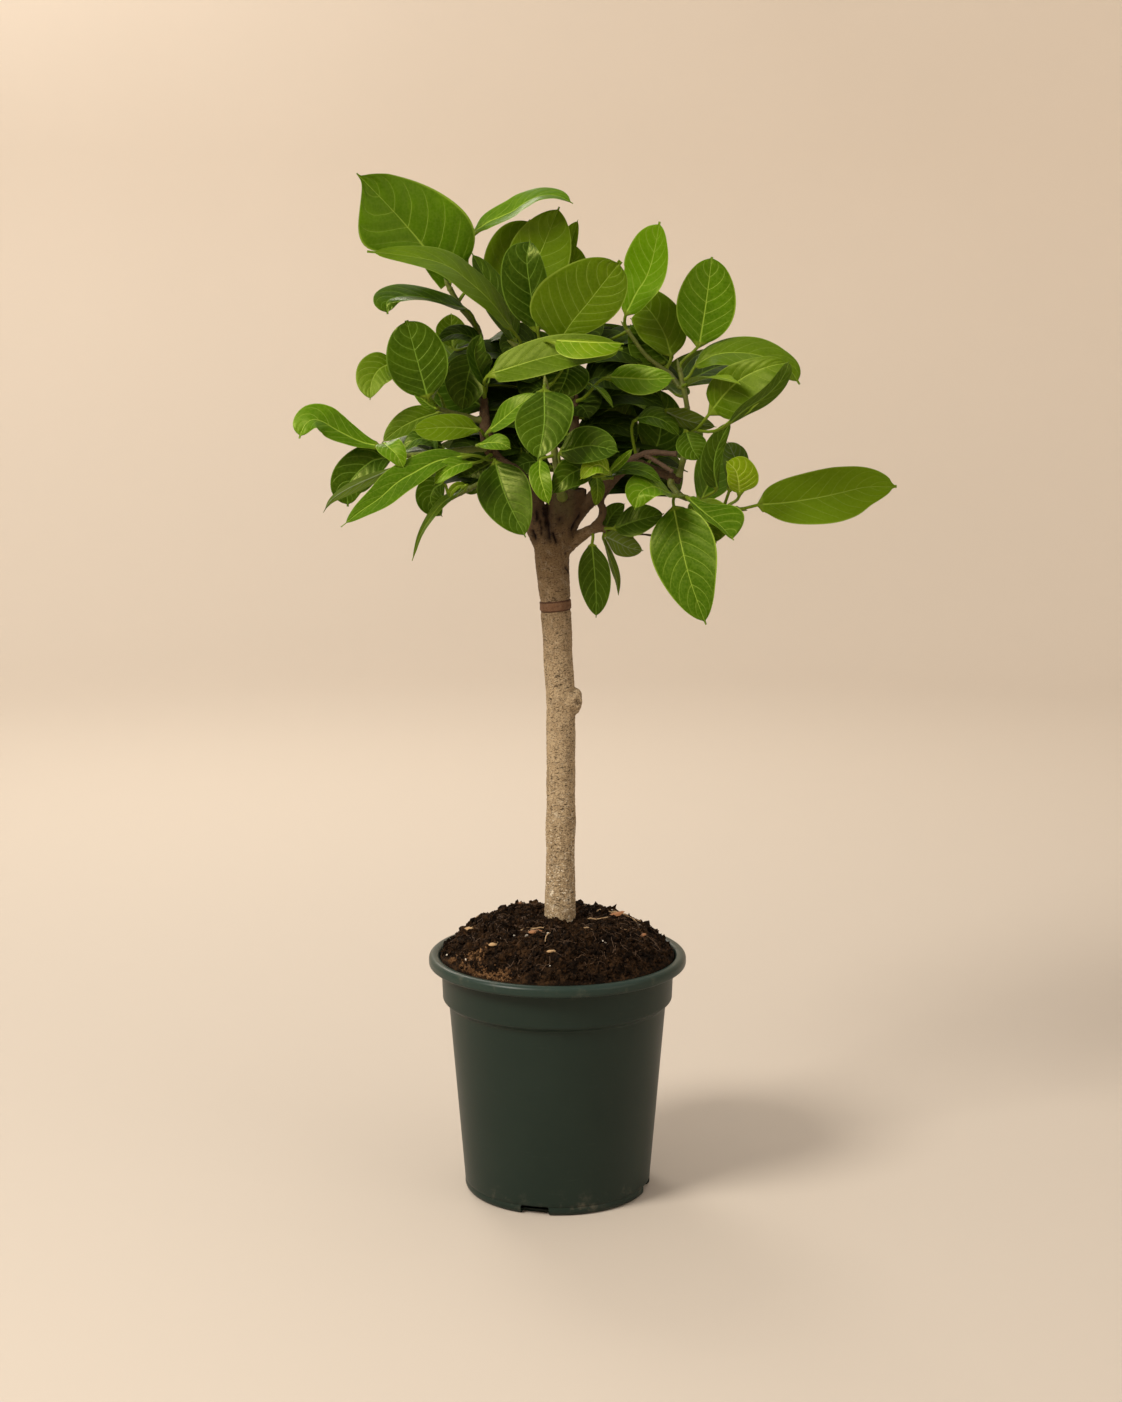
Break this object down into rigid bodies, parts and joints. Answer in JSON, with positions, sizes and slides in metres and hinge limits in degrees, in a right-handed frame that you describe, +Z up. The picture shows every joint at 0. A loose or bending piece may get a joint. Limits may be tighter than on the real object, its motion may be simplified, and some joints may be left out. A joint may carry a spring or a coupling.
{
  "type": "potted council tree",
  "caption": "Small standard fig tree with a bare trunk and a loose crown of broad glossy leaves, rooted in peat in a dark green nursery pot.",
  "frame": {"origin": "centre of the pot's flat underside, on the floor it stands on", "axes": "+Z up along the pot's axis and the trunk, -Y towards the tree's front, +X to the right seen from the front"},
  "size_m": [0.5793, 0.3033, 1.0185],
  "materials": {
    "pot_plastic": "injection-moulded dark green polypropylene, satin, slightly glossier on the lip",
    "potting_soil": "damp dark brown fibrous peat with bark chips, straws and a few perlite grains",
    "bark": "smooth beige-grey bark with dark lenticels, paler and mottled low down, browner at the fork",
    "green_shoot": "green to brownish young twig",
    "leaf_dark": "leathery deep green, glossy, with pale veins",
    "leaf_bright": "leathery bright green, glossy, with pale yellowish veins",
    "leaf_olive": "matt yellow-green underside with raised veins, or young leaf lit through"
  },
  "bodies": {
    "root": {"leaf_back_1": "leaf_dark", "leaf_back_2": "leaf_bright", "leaf_back_3": "leaf_dark", "leaf_back_4": "leaf_bright", "leaf_back_5": "leaf_dark", "leaf_back_6": "leaf_dark", "leaf_back_7": "leaf_bright", "leaf_crown_1": "leaf_olive", "leaf_crown_2": "leaf_dark", "leaf_crown_3": "leaf_dark", "leaf_crown_4": "leaf_olive", "leaf_crown_5": "leaf_bright", "leaf_front_1": "leaf_dark", "leaf_front_2": "leaf_dark", "leaf_front_3": "leaf_olive", "leaf_front_4": "leaf_bright", "leaf_front_5": "leaf_dark", "leaf_left_1": "leaf_olive", "leaf_left_2": "leaf_olive", "leaf_left_3": "leaf_bright", "leaf_left_4": "leaf_olive", "leaf_left_5": "leaf_bright", "leaf_left_6": "leaf_dark", "leaf_left_7": "leaf_olive", "leaf_left_8": "leaf_dark", "leaf_left_9": "leaf_olive", "leaf_right_1": "leaf_olive", "leaf_right_10": "leaf_dark", "leaf_right_11": "leaf_bright", "leaf_right_2": "leaf_bright", "leaf_right_3": "leaf_olive", "leaf_right_4": "leaf_olive", "leaf_right_5": "leaf_dark", "leaf_right_6": "leaf_olive", "leaf_right_7": "leaf_bright", "leaf_right_8": "leaf_bright", "leaf_right_9": "leaf_dark", "leaf_top_left_1": "leaf_bright", "leaf_top_left_2": "leaf_olive", "leaf_top_left_3": "leaf_dark", "leaf_top_left_4": "leaf_bright", "pot": "pot_plastic", "shoot_back": "green_shoot", "shoot_back_left": "green_shoot", "shoot_back_right": "green_shoot", "shoot_front": "green_shoot", "shoot_left": "green_shoot", "shoot_left_high": "green_shoot", "shoot_right": "green_shoot", "shoot_right_low": "green_shoot", "shoot_right_top": "green_shoot", "shoot_top": "green_shoot", "shoot_top_left": "green_shoot", "shoot_young": "green_shoot", "soil": "potting_soil", "trunk": "bark"}
  },
  "joints": []
}
